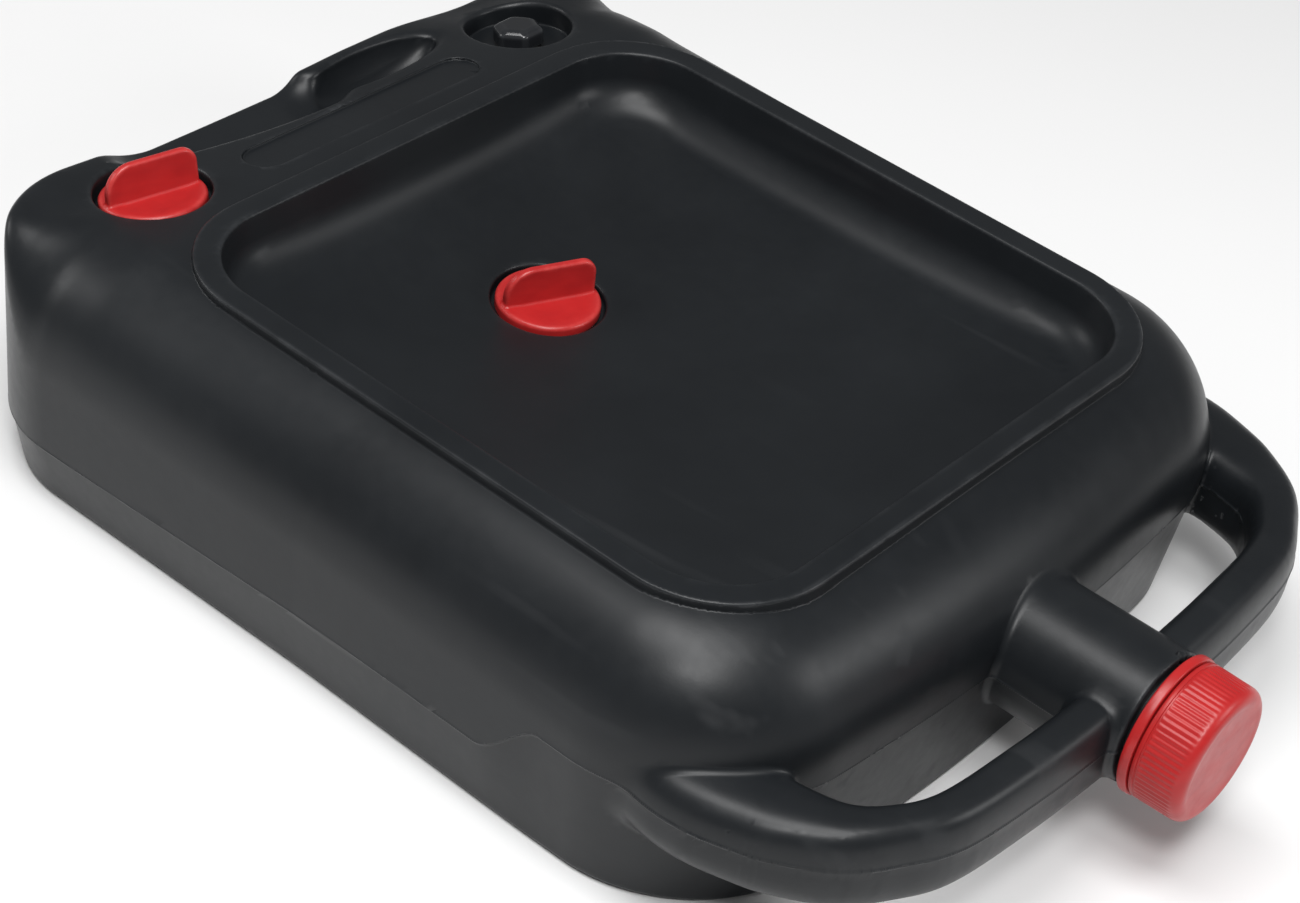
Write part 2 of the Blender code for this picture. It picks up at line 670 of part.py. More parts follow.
def build_cap(mat):
    """Screw cap of the pouring neck, turned about X with its origin on the axis."""
    inner = MOUTH_RADIUS + THREAD_HEIGHT + 0.5 * MM
    roof = MOUTH_END + LINER_THICKNESS + 2 * GAP
    profile = [(0, roof), (inner, roof), (inner, CAP_BACK), (CAP_RADIUS, CAP_BACK)]
    profile += arc((CAP_RADIUS - 0.6 * MM - CAP_SHOULDER, CAP_FRONT - CAP_SHOULDER), CAP_SHOULDER, 0, 90, 6)
    profile += [(0, CAP_FRONT)]
    shift = Matrix.Translation((0, 0, -CAP_BACK))
    turn = Matrix.Rotation(math.pi / 2, 4, "Y")
    cap = turned(profile, "spout_cap", mat, segments=64, matrix=turn @ shift)
    cap.location = (CAP_BACK, 0, NECK_AXIS_Z)
    return cap


def build_cap_liner(mat):
    """Sealing disc that the cap presses on the neck's mouth."""
    radius = MOUTH_RADIUS + 1.2 * MM
    profile = [(0, 0), (radius, 0), (radius, LINER_THICKNESS), (0, LINER_THICKNESS)]
    liner = turned(profile, "cap_liner", mat, matrix=Matrix.Rotation(math.pi / 2, 4, "Y"))
    liner.location = (MOUTH_END + GAP, 0, NECK_AXIS_Z)
    return liner


def build_tamper_ring(mat):
    """Smooth band behind the cap. It stays on the neck when the cap comes off."""
    inner = MOUTH_RADIUS + 0.4 * MM
    profile = [(inner, 0), (RING_RADIUS - 0.8 * MM, 0), (RING_RADIUS, 1 * MM)]
    width = RING_FRONT - RING_BACK
    profile += [(RING_RADIUS, width - 0.8 * MM), (RING_RADIUS - 0.8 * MM, width), (inner, width)]
    ring = turned(profile, "cap_tamper_ring", mat, segments=64, matrix=Matrix.Rotation(math.pi / 2, 4, "Y"))
    ring.location = (RING_BACK, 0, NECK_AXIS_Z)
    return ring


def main():
    clear_scene()
    black = material("tank_black", (0.022, 0.024, 0.026), 0.42)
    red = material("closure_red", (0.56, 0.02, 0.02), 0.35)
    gloss = material("vent_black", (0.012, 0.013, 0.015), 0.15)
    rubber = material("seal_rubber", (0.03, 0.03, 0.03), 0.7)
    foam = material("liner_foam", (0.75, 0.75, 0.72), 0.8)
    build_tank(black)
    build_plug("rear_plug", REAR_PLUG, REAR_RECESS_DEPTH, REAR_PLUG_TURN, red)
    build_plug_seal("rear_plug_seal", REAR_PLUG, REAR_RECESS_DEPTH, rubber)
    build_plug("tray_plug", TRAY_PLUG, TRAY_RECESS_DEPTH, TRAY_PLUG_TURN, red)
    build_plug_seal("tray_plug_seal", TRAY_PLUG, TRAY_RECESS_DEPTH, rubber)
    build_vent_cap(gloss)
    build_vent_seal(rubber)
    build_cap(red)
    build_cap_liner(foam)
    build_tamper_ring(red)


main()
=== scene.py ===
"""Looks of the oil drain pan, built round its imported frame.

Lengths in the shape functions are millimetres in the frame's own axes: +X out of
the pouring neck, +Y to the vent's side, +Z up. Meshes are written in metres.
"""

import math

import bpy
import numpy as np
from mathutils import Matrix, Vector


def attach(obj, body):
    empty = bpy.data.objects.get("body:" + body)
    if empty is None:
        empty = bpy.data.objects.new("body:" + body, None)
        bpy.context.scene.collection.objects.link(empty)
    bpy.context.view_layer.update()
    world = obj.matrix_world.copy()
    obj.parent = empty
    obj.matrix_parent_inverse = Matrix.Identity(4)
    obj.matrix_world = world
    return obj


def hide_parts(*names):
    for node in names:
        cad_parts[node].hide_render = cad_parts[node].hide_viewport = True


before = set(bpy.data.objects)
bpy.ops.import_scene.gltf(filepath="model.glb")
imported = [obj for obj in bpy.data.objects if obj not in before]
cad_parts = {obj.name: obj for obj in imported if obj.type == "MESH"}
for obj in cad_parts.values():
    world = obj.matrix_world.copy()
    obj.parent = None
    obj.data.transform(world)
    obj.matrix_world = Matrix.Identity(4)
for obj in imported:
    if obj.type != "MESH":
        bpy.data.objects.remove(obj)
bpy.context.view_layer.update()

MM = 0.001
FINE = 1.0
EDGE_GAIN = 2.2

# Tank
HEIGHT = 124.0
HALF_WIDTH = 189.0
REAR, CORNER_FRONT = -266.2, 162.7
FRONT_BOW, REAR_HOLLOW, FLARE = 11.5, 2.6, 5.0
REAR_CORNER, FRONT_CORNER = 64.5, 68.5
TRAY_REAR, TRAY_FRONT, TRAY_HALF_WIDTH, TRAY_CORNER = -175.8, 123.7, 140.0, 40.0
RIM_WIDTH, RIM_STEP = 12.0, 2.8
TRAY_EDGE_DEPTH, TRAY_DRAIN_DEPTH, TRAY_FILLET, TRAY_DRAFT = 28.0, 45.0, 13.0, 4.0
SHOULDER, REAR_SHOULDER, SHOULDER_RISE = 51.5, 4.0, (-252.4, -208.0)
FALL_START, SLOPE = -180.8, 0.157
NECK_Z, NECK_RADIUS, NECK_END = 61.0, 29.5, 235.7
LOOP_Z, LOOP_HALF_HEIGHT, FRONT_START = 56.8, 20.0, 92
MOUTH_RADIUS, MOUTH_TIP, BORE, BORE_REAR = 24.6, 259.4, 21.0, 147
SOCKET_RADIUS = 23.2
CAP_THREAD_PITCH = 6.0

# Openings and the label panel
RECESS_RADIUS = 25.6
REAR_RECESS, TRAY_RECESS, VENT_RECESS = 7.0, 3.2, 11.0
PLUG_HOLE, VENT_HOLE, HOLE_DEPTH = 16.2, 8.2, 22
PANEL_HALF_LENGTH, PANEL_RADIUS, PANEL_DEPTH = 59.5, 10.5, 1.1

# Winged plugs and vent cap, each from the underside of its head
PLUG_RADIUS, PLUG_HEAD, PLUG_STEM, PLUG_STEM_LENGTH, PLUG_THREAD_PITCH = 23.5, 5.5, 14.2, 14, 5.0
FIN_HALF_LENGTH, FIN_HEIGHT, FIN_HALF_THICKNESS = 21.5, 17.0, 2.5
FIN_CORNER, FIN_FAR_CORNER = 7.0, 13.0
VENT_HALF_FLATS, VENT_HEAD, VENT_STEM, VENT_STEM_LENGTH, VENT_THREAD_PITCH = 11.0, 9.0, 6.6, 12, 3.0
PLUG_SEAT, VENT_SEAT = 0.3, 2.2

# Sites of the closures: point on the surface and lean about Y
DRAIN = (-92.8, 0.0, 79.0)
DECK_X, DECK_Y, DECK_Z = -223.3, 114.0, 117.2
LEAN = -math.atan(0.16)
REAR_SITE = ((DECK_X, -DECK_Y, DECK_Z), LEAN)
VENT_SITE = ((DECK_X, DECK_Y, DECK_Z), LEAN)
TRAY_SITE = (DRAIN, 0.0)
PANEL_SITE = ((-211.3, 0.0, 119.1), LEAN)


# ---------------------------------------------------------------- distance fields

def smoothstep(low, high, value):
    t = np.clip((value - low) / (high - low), 0, 1)
    return t * t * (3 - 2 * t)


def join(a, b, radius):
    """Union with a fillet of that radius."""
    corner = np.hypot(np.maximum(radius - a, 0), np.maximum(radius - b, 0))
    return np.maximum(radius, np.minimum(a, b)) - corner


def meet(a, b, radius):
    """Intersection with a rounded edge of that radius."""
    corner = np.hypot(np.maximum(radius + a, 0), np.maximum(radius + b, 0))
    return np.minimum(-radius, np.maximum(a, b)) + corner


def cut(a, tool, radius):
    """Removes tool, with a rounded edge of that radius."""
    return meet(a, -tool, radius)


def rounded_box(x, y, rear, front, half, radius):
    """Distance to a rectangle in plan with rounded corners."""
    qx = np.abs(x - (rear + front) / 2) - (front - rear) / 2 + radius
    qy = np.abs(y) - half + radius
    outside = np.hypot(np.maximum(qx, 0), np.maximum(qy, 0))
    return outside + np.minimum(np.maximum(qx, qy), 0) - radius


def local(site, x, y, z):
    """Coordinates in a site's own frame, whose third axis is the closure's."""
    (cx, cy, cz), lean = site
    c, s = math.cos(lean), math.sin(lean)
    dx, dz = x - cx, z - cz
    return c * dx - s * dz, y - cy, s * dx + c * dz


def tank_plan(x, y):
    """Outline of the walls: bowed front, hollow rear, wider towards the rear."""
    middle = (REAR + CORNER_FRONT) / 2
    forward = np.clip((x - middle) / (CORNER_FRONT - middle), 0, 1.15) ** 3
    backward = np.clip((middle - x) / (middle - REAR), 0, 1.15)
    y = y / (1 + FLARE / HALF_WIDTH * backward)
    arch = 1 - np.clip(np.abs(y) / HALF_WIDTH, 0, 1.05) ** 2
    x = x - FRONT_BOW * forward * arch - REAR_HOLLOW * backward**3 * arch
    corner = REAR_CORNER + (FRONT_CORNER - REAR_CORNER) * smoothstep(-60, 60, x)
    return rounded_box(x, y, REAR, CORNER_FRONT, HALF_WIDTH, corner)


def tray_plan(x, y):
    return rounded_box(x, y, TRAY_REAR, TRAY_FRONT, TRAY_HALF_WIDTH, TRAY_CORNER)


def deck_drop(x):
    """How far the top has fallen below the rim behind the tray."""
    run = np.maximum(0, FALL_START - x)
    return SLOPE * run * run / (run + 6)


def rear_lift(x, y):
    """Small swell of the rear deck's edge: a raised ear on -Y, lower by the vent."""
    ear = 3.2 * (1 - smoothstep(-150, -85, y))
    swell = 1 + ear + 1.2 * smoothstep(0, 40, y) - 5.6 * smoothstep(60, 122, y)
    return swell * (1 - smoothstep(-262, -230, x))


def parting_height(x):
    """Height of the mould's parting line, which climbs to the neck's at the front."""
    low = 28 + 8 * smoothstep(-264, 48, x)
    return low + (NECK_Z - low) * smoothstep(48, 81, x)


def tank_field(x, y, z):
    """Walls, shoulder, deck, rim, catch tray and underside, without the front parts."""
    plan = tank_plan(x, y)
    parting = parting_height(x)
    down = np.clip((parting - z) / parting, 0, 1)
    taper = 5 + 1.6 * smoothstep(60, 150, x)
    ridge = 0.35 * np.exp(-(((z - parting) / 0.7) ** 2))
    wall = plan + taper * down + 0.8 * smoothstep(-0.6, 0.6, parting - z) - ridge
    radius = REAR_SHOULDER + (SHOULDER - REAR_SHOULDER) * smoothstep(*SHOULDER_RISE, x)
    step = 0.4 + (RIM_STEP - 0.4) * smoothstep(-222, -165, x)
    top = HEIGHT - deck_drop(x) + rear_lift(x, y)
    side, roof = wall + radius, z - (top - step - radius)
    corner = np.hypot(np.maximum(side, 0), np.maximum(roof, 0))
    field = np.minimum(np.maximum(side, roof), 0) + corner - radius
    tray = tray_plan(x, y)
    field = join(field, meet(tray - RIM_WIDTH, z - top, 1.0), 0.3)
    field = meet(field, -z, 3.0)
    ahead, behind = TRAY_FRONT - TRAY_DRAFT - DRAIN[0], DRAIN[0] - TRAY_REAR - TRAY_DRAFT
    reach = np.where(x > DRAIN[0], ahead, behind)
    u, v = np.abs(x - DRAIN[0]) / reach, np.abs(y) / (TRAY_HALF_WIDTH - TRAY_DRAFT)
    share = np.clip((u**3 + v**3 + 1e-9) ** (1 / 3), 0, 1.1)
    fall = TRAY_DRAIN_DEPTH - TRAY_EDGE_DEPTH
    floor = HEIGHT - TRAY_DRAIN_DEPTH + fall * share**1.6
    hollow_wall = tray + TRAY_DRAFT * np.clip((HEIGHT - z) / TRAY_EDGE_DEPTH, 0, 1.2)
    field = cut(field, meet(hollow_wall, floor - z, TRAY_FILLET), 1.4)
    underside = meet(rounded_box(x, y, -231, 122, 150, 34), z - 1.6, 0.5)
    return cut(field, underside, 1.2)


# Middle line of the finger loop: x, y and width
LOOP_KEYS = [
    (98, 153, 50), (122, 160.5, 48), (141, 163, 45.7), (161, 160.2, 40.7),
    (174, 157.2, 35.3), (193, 148.2, 26.8), (205.5, 133.7, 21.7), (215.6, 111.2, 21.3),
    (219.8, 69, 21.8), (221.3, 35, 21.8), (221.8, 0, 21.8), (221.3, -35, 21.8),
]


def loop_path():
    """Points and widths down the middle of the finger loop's +Y half."""
    keys, path = np.array(LOOP_KEYS, float), []
    for k in range(len(keys) - 2):
        a, b, c, d = keys[max(k - 1, 0)], keys[k], keys[k + 1], keys[k + 2]
        for t in np.arange(0, 1, 1 / 6):
            bend = t * t * (a - 2.5 * b + 2 * c - 0.5 * d)
            bend += t**3 * (1.5 * (b - c) + 0.5 * (d - a))
            path.append(b + 0.5 * t * (c - a) + bend)
    return np.array(path + [keys[-2]])


LOOP_PATH = loop_path()


def loop_field(x, y, z):
    """Squarish bar along the loop's path, mirrored in Y."""
    y = np.abs(y)
    best = np.full(np.broadcast(x, y).shape, 1e9)
    width = np.zeros_like(best)
    for a, b in zip(LOOP_PATH[:-1], LOOP_PATH[1:]):
        dx, dy = b[0] - a[0], b[1] - a[1]
        t = np.clip(((x - a[0]) * dx + (y - a[1]) * dy) / (dx * dx + dy * dy), 0, 1)
        gap = np.hypot(x - a[0] - t * dx, y - a[1] - t * dy)
        closer = gap < best
        best = np.where(closer, gap, best)
        width = np.where(closer, (a[2] + t * (b[2] - a[2])) / 2, width)
    power = 3.0
    rise = np.abs(z - LOOP_Z) / LOOP_HALF_HEIGHT
    size = ((best / width) ** power + rise**power + 1e-9) ** (1 / power)
    return (size - 1) * np.minimum(width, LOOP_HALF_HEIGHT)


def front_field(x, y, z):
    """Finger loop and the neck's root, with the moulding's parting line round both."""
    tube = meet(np.hypot(y, z - NECK_Z) - NECK_RADIUS, x - NECK_END, 1.6)
    neck = np.maximum(tube, 110 - x)
    loop = np.maximum(loop_field(x, y, z), 100 - x)
    ridge = 0.45 * np.exp(-(((z - NECK_Z) / 0.55) ** 2))
    return neck - ridge, loop - ridge


def bore(x, y, z):
    """Socket in the neck that the separate mouth piece stands in."""
    return np.maximum(np.hypot(y, z - NECK_Z) - SOCKET_RADIUS, BORE_REAR - x)


def counterbore(site, depth, hole, x, y, z):
    """Recess with a rounded foot, and the blind hole in its floor."""
    u, v, w = local(site, x, y, z)
    reach = np.hypot(u, v)
    recess = meet(reach - RECESS_RADIUS, -depth - w, 1.2)
    return np.minimum(recess, meet(reach - hole, -depth - HOLE_DEPTH - w, 0.5))


def grip_fields(x, y, z):
    """Ledge behind the crest of the rear deck, and the finger pocket beside it."""
    crest = -230.5 - 17 * (y / 98) ** 2
    above = z - 104.5
    ledge = meet(x - crest - 0.3 * above, 104.5 + 0.03 * (x + 266) - z, 3.0)
    ends = meet(0.75 * (y - 2 - 0.5 * above), 0.55 * (-94 - y - 1.5 * above), 1.0)
    ledge = meet(ledge, ends, 8.0)
    middle, reach = (-243.2, 36, 114.5), (13.2, 41, 19)
    squares = [((p - m) / r) ** 2 for p, m, r in zip((x, y, z), middle, reach)]
    deep = np.sqrt(squares[0] + squares[1] + squares[2] + 1e-9)
    return ledge, (deep - 1) * 13


def panel_strip(u, v):
    """Outline of the blank label panel, a strip with round ends."""
    return np.hypot(u, np.maximum(np.abs(v) - PANEL_HALF_LENGTH, 0)) - PANEL_RADIUS


def panel_field(x, y, z):
    u, v, w = local(PANEL_SITE, x, y, z)
    return meet(panel_strip(u, v), -PANEL_DEPTH - w, 0.2)


def within(points, low, high):
    """Mask of broadcast coordinates inside a box, for features that are local."""
    inside = True
    for value, least, most in zip(points, low, high):
        inside = inside & (value > least) & (value < most)
    return inside


def body_field(x, y, z):
    """Distance to the outside of the tank with all that is moulded into it."""
    x, y, z = np.broadcast_arrays(x, y, z)
    field = tank_field(x, y, z)

    def patch(mask, change):
        if mask.any():
            field[mask] = change(field[mask], x[mask], y[mask], z[mask])

    def add_front(f, x, y, z):
        neck, loop = front_field(x, y, z)
        return cut(join(join(f, loop, 2.6), neck, 2.6), bore(x, y, z), 0.8)

    def cut_grip(f, x, y, z):
        ledge, pocket = grip_fields(x, y, z)
        return cut(f, join(ledge, pocket, 7.0), 2.6)

    def cut_opening(site, depth, hole, lip):
        return lambda f, x, y, z: cut(f, counterbore(site, depth, hole, x, y, z), lip)

    def cut_panel(f, x, y, z):
        return cut(f, panel_field(x, y, z), 0.35)

    patch(x > FRONT_START, add_front)
    for low, high, change in (
        ((-285, -112, 88), (-215, 95, 140), cut_grip),
        ((-262, -155, 70), (-184, -73, 140), cut_opening(REAR_SITE, REAR_RECESS, PLUG_HOLE, 1.6)),
        ((-262, 73, 60), (-184, 155, 140), cut_opening(VENT_SITE, VENT_RECESS, VENT_HOLE, 2.6)),
        ((-132, -40, 40), (-53, 40, 100), cut_opening(TRAY_SITE, TRAY_RECESS, PLUG_HOLE, 1.4)),
        ((-230, -80, 105), (-190, 80, 135), cut_panel),
    ):
        patch(within((x, y, z), low, high), change)
    return field


def thread_bump(angle, height, pitch, depth, low, high):
    """Radial height of a helical ridge that fades out at both ends."""
    phase = np.mod((height - angle / (2 * math.pi) * pitch) / pitch, 1.0)
    crest = np.clip(1.25 - np.abs(phase - 0.5) * 5.5, 0, 1)
    fade = smoothstep(low, low + 1.5, height) * (1 - smoothstep(high - 1.5, high, height))
    return depth * crest * fade


def plug_field(turn):
    """Winged plug about its own axis, z = 0 under the head."""
    def field(x, y, z):
        reach = np.hypot(x, y)
        dish = 0.35 * (1 - smoothstep(14, 20, reach))
        head = meet(meet(reach - PLUG_RADIUS, z - PLUG_HEAD + dish, 1.9), -z, 0.6)
        ridge = thread_bump(np.arctan2(y, x), z, PLUG_THREAD_PITCH, 1.6, -13.0, -2.5)
        stem = meet(reach - PLUG_STEM - ridge, -PLUG_STEM_LENGTH - z, 1.0)
        stem = np.maximum(stem, z - 2)
        c, s = math.cos(turn + math.pi / 2), math.sin(turn + math.pi / 2)
        along, across = c * x + s * y, -s * x + c * y
        top = PLUG_HEAD + FIN_HEIGHT

        def end(way, radius):
            out = np.maximum(way * along - FIN_HALF_LENGTH + radius, 0)
            return np.hypot(out, np.maximum(z - top + radius, 0)) - radius

        flat = np.maximum(np.abs(along) - FIN_HALF_LENGTH, z - top)
        outline = np.maximum(np.maximum(end(1, FIN_CORNER), end(-1, FIN_FAR_CORNER)), flat)
        taper = 0.03 * (z - PLUG_HEAD)
        tab = np.maximum(meet(outline, np.abs(across) - FIN_HALF_THICKNESS + taper, 1.3), 2 - z)
        return join(join(head, stem, 0.8), tab, 1.4)
    return field


def vent_cap_field(x, y, z):
    """Low six-sided cap with sloping shoulders on a threaded stem."""
    steepness = math.radians(52)
    c, s = math.cos(steepness), math.sin(steepness)
    for k in range(6):
        angle = math.pi / 3 * k
        out = x * math.cos(angle) + y * math.sin(angle)
        flat, facet = out - VENT_HALF_FLATS, (out - 8.2) * c + (z - VENT_HEAD) * s
        side = flat if k == 0 else meet(side, flat, 1.6)
        slope = facet if k == 0 else meet(slope, facet, 1.2)
    head = meet(meet(meet(side, slope, 1.0), z - VENT_HEAD, 0.9), -z, 0.5)
    reach = np.hypot(x, y)
    ridge = thread_bump(np.arctan2(y, x), z, VENT_THREAD_PITCH, 1.2, -11.5, -1.5)
    stem = np.maximum(meet(reach - VENT_STEM - ridge, -VENT_STEM_LENGTH - z, 0.8), z - 2)
    return join(head, stem, 0.6)


# ---------------------------------------------------------------- meshing a field

def gradient(field, points, step=0.02):
    """Slope of the field at each point, by central differences."""
    x, y, z = points.T
    slope = np.empty_like(points)
    for axis in range(3):
        shift = [0.0, 0.0, 0.0]
        shift[axis] = step
        ahead = field(x + shift[0], y + shift[1], z + shift[2])
        slope[:, axis] = (ahead - field(x - shift[0], y - shift[1], z - shift[2])) / (2 * step)
    return slope


def unit(vectors):
    return vectors / np.maximum(np.linalg.norm(vectors, axis=1, keepdims=True), 1e-9)


def settle(field, points, rounds=4, most=1.2):
    """Moves points onto the surface along the field's slope; returns them and their normals."""
    for _ in range(rounds):
        slope = gradient(field, points)
        steep = np.maximum((slope**2).sum(1), 0.05)
        move = -field(*points.T) / steep
        length = np.abs(move) * np.sqrt(steep)
        points = points + slope * (move * np.minimum(1, most / np.maximum(length, 1e-9)))[:, None]
    return points, unit(gradient(field, points))


def surface_net(field, low, high, step):
    """Quad mesh of the zero level on a regular grid, one vertex in each crossed cell."""
    low = np.array(low, float)
    counts = np.ceil((np.array(high) - low) / step).astype(int) + 1
    axes = [low[i] + step * np.arange(counts[i]) for i in range(3)]
    value = field(axes[0][:, None, None], axes[1][None, :, None], axes[2][None, None, :])
    stride = np.array([counts[1] * counts[2], counts[2], 1])
    flat = value.ravel()
    sums = np.zeros((flat.size, 3))
    hits = np.zeros(flat.size)
    quads = []
    for axis in range(3):
        start = [slice(None)] * 3
        start[axis] = slice(0, -1)
        index = np.arange(flat.size).reshape(counts)[tuple(start)].ravel()
        a, b = flat[index], flat[index + stride[axis]]
        crossed = (a < 0) != (b < 0)
        index, a, b = index[crossed], a[crossed], b[crossed]
        place = np.stack(np.unravel_index(index, counts), 1).astype(float)
        place[:, axis] += a / (a - b)
        u, v = [i for i in range(3) if i != axis]
        around = [
            index - du * stride[u] - dv * stride[v]
            for du, dv in ((1, 1), (0, 1), (0, 0), (1, 0))
        ]
        for cell in around:
            np.add.at(sums, cell, place)
            np.add.at(hits, cell, 1)
        quad = np.stack(around, 1)
        flip = (a < 0) == (axis == 1)
        quad[flip] = quad[flip][:, ::-1]
        quads.append(quad)
    quads = np.concatenate(quads)
    used, quads = np.unique(quads, return_inverse=True)
    points = sums[used] / hits[used][:, None] * step + low
    quads = quads.reshape(-1, 4)
    triangles = np.concatenate([quads[:, (0, 1, 2)], quads[:, (0, 2, 3)]])
    return points, triangles


def edges_of(triangles):
    """Unique edges, and for each triangle the numbers of its edges 01, 12 and 20."""
    pairs = np.concatenate([triangles[:, (0, 1)], triangles[:, (1, 2)], triangles[:, (2, 0)]])
    pairs = np.sort(pairs, axis=1)
    edges, number = np.unique(pairs, axis=0, return_inverse=True)
    return edges, number.reshape(3, -1).T


def relax(field, points, triangles, rounds):
    """Evens out the mesh by sliding each point towards the middle of its neighbours."""
    edges, _ = edges_of(triangles)
    ends = np.concatenate([edges, edges[:, ::-1]])
    count = np.bincount(ends[:, 0], minlength=len(points))[:, None]
    normals = unit(gradient(field, points))
    for _ in range(rounds):
        total = [np.bincount(ends[:, 0], points[ends[:, 1], k], len(points)) for k in range(3)]
        pull = np.stack(total, 1) / count - points
        pull -= normals * (pull * normals).sum(1, keepdims=True)
        points, normals = settle(field, points + 0.5 * pull, 2)
    return points, normals


def refine(field, points, normals, triangles, shortest, bend, band=None):
    """One pass of splitting edges over which the surface turns by more than bend
    degrees, and those that band asks for."""
    edges, number = edges_of(triangles)
    a, b = points[edges[:, 0]], points[edges[:, 1]]
    length = np.linalg.norm(a - b, axis=1)
    middle, turned = settle(field, (a + b) / 2, 3)
    limit = math.cos(math.radians(bend))
    na, nb = normals[edges[:, 0]], normals[edges[:, 1]]
    flattest = np.minimum((na * turned).sum(1), np.minimum((nb * turned).sum(1), (na * nb).sum(1)))
    split = (length > 1.5 * shortest) & (flattest < limit)
    if band is not None:
        split |= length > 1.5 * band(middle)
    fresh = np.full(len(edges), -1)
    fresh[split] = len(points) + np.arange(split.sum())
    points = np.concatenate([points, middle[split]])
    normals = np.concatenate([normals, turned[split]])
    middles = fresh[number]
    cuts = (middles >= 0).sum(1)
    parts = [triangles[cuts == 0]]

    def fill(chosen, corners, halves, *faces):
        """Triangles of the chosen rows; 0 to 2 are corners, 3 to 5 edge middles."""
        six = np.concatenate([corners[chosen], halves[chosen]], axis=1)
        parts.extend(six[:, face] for face in faces)

    for k in range(3):
        t = np.roll(triangles, -k, axis=1)
        m = np.roll(middles, -k, axis=1)
        fill((cuts == 1) & (m[:, 0] >= 0), t, m, (0, 3, 2), (3, 1, 2))
        fill((cuts == 2) & (m[:, 2] < 0), t, m, (3, 1, 4), (0, 3, 4), (0, 4, 2))
    fill(cuts == 3, triangles, middles, (0, 3, 5), (3, 1, 4), (5, 4, 2), (3, 4, 5))
    return points, normals, np.concatenate(parts)


def write_mesh(name, points, normals, triangles):
    """Object from points in millimetres, with the surface's own normals and an
    'edge' attribute: how sharply the surface bends outwards there."""
    a, b, c = (points[triangles[:, k]] for k in range(3))
    face = np.cross(b - a, c - a)
    area = np.linalg.norm(face, axis=1)
    triangles, face = triangles[area > 1e-6], face[area > 1e-6]
    inward = (face * normals[triangles].sum(1)).sum(1) < 0
    if inward.mean() > 0.5:
        triangles = triangles[:, ::-1]
    edges, _ = edges_of(triangles)
    along = points[edges[:, 1]] - points[edges[:, 0]]
    turn = ((normals[edges[:, 1]] - normals[edges[:, 0]]) * along).sum(1)
    bend = turn / np.maximum((along**2).sum(1), 1e-4)
    ends = edges.ravel()
    touching = np.maximum(np.bincount(ends, minlength=len(points)), 1)
    sharpness = np.bincount(ends, np.repeat(bend, 2), len(points)) / touching
    mesh = bpy.data.meshes.new(name)
    mesh.vertices.add(len(points))
    mesh.vertices.foreach_set("co", (points * MM).ravel())
    mesh.loops.add(triangles.size)
    mesh.loops.foreach_set("vertex_index", triangles.ravel().astype(np.int32))
    mesh.polygons.add(len(triangles))
    mesh.polygons.foreach_set("loop_start", np.arange(0, triangles.size, 3, dtype=np.int32))
    mesh.update(calc_edges=True)
    mesh.validate()
    mesh.shade_smooth()
    mesh.normals_split_custom_set_from_vertices(normals.tolist())
    wear = mesh.attributes.new("edge", "FLOAT", "POINT")
    wear.data.foreach_set("value", np.clip(sharpness * EDGE_GAIN, 0, 1).astype(np.float32))
    obj = bpy.data.objects.new(name, mesh)
    bpy.context.scene.collection.objects.link(obj)
    return obj


def field_piece(name, field, low, high, step, shortest, bend, rounds, band=None):
    """Object from a field: a grid of that step between low and high, then refined."""
    points, triangles = surface_net(field, low, high, step)
    points, normals = settle(field, points, 6)
    points, normals = relax(field, points, triangles, 3)
    for _ in range(rounds):
        points, normals, triangles = refine(field, points, normals, triangles, shortest, bend, band)
    return write_mesh(name, points, normals, triangles)


def seam_band(points):
    """Longest edge wanted at each point: short along the parting line, the rim and
    the label panel's outline."""
    x, y, z = points.T
    gap = np.abs(z - parting_height(x))
    gap = np.where(x > FRONT_START, np.minimum(gap, np.abs(z - NECK_Z)), gap)
    wanted = np.where(gap < 2.2, 0.9, 99.0)
    tray = np.abs(tray_plan(x, y) - RIM_WIDTH)
    rim = (tray < 3.2) & (z > HEIGHT - deck_drop(x) - 6)
    wanted = np.where(rim, 1.1, wanted)
    u, v, w = local(PANEL_SITE, x, y, z)
    edge = np.abs(panel_strip(u, v))
    return np.where((edge < 1.6) & (np.abs(w) < 3), 0.8, wanted) * FINE


# ---------------------------------------------------------------- turned pieces

def turned(name, radius_at, profile, segments, shut=False):
    """Mesh of revolution about X at the neck's height. profile is (x, radius) rows,
    radius_at(row, x, radius, angles) may vary the radius round the axis, and shut
    joins the last row to the first."""
    angles = np.arange(segments) * 2 * math.pi / segments
    points, rows = [], []
    for k, (x, radius) in enumerate(profile):
        if radius == 0:
            rows.append(np.full(segments, len(points)))
            points.append((x, 0.0, NECK_Z))
            continue
        rows.append(len(points) + np.arange(segments))
        reach = radius_at(k, x, radius, angles)
        across, up = reach * np.cos(angles), NECK_Z + reach * np.sin(angles)
        points += list(zip(np.full(segments, x), across, up))
    pairs = list(zip(rows, rows[1:])) + ([(rows[-1], rows[0])] if shut else [])
    faces = []
    for low, high in pairs:
        for i in range(segments):
            j = (i + 1) % segments
            corners = (int(low[i]), int(low[j]), int(high[j]), int(high[i]))
            faces.append(tuple(dict.fromkeys(corners)))
    mesh = bpy.data.meshes.new(name)
    mesh.from_pydata([tuple(c * MM for c in p) for p in points], [], faces)
    mesh.validate()
    mesh.shade_smooth()
    mesh.set_sharp_from_angle(angle=math.radians(38))
    obj = bpy.data.objects.new(name, mesh)
    bpy.context.scene.collection.objects.link(obj)
    return obj


def arc(cx, cr, radius, start, stop, steps):
    """(x, radius) points of an arc in a turned profile."""
    turns = [math.radians(start + (stop - start) * i / steps) for i in range(steps + 1)]
    return [(cx + radius * math.cos(t), cr + radius * math.sin(t)) for t in turns]


def plain_radius(k, x, radius, angles):
    return np.full(len(angles), radius)


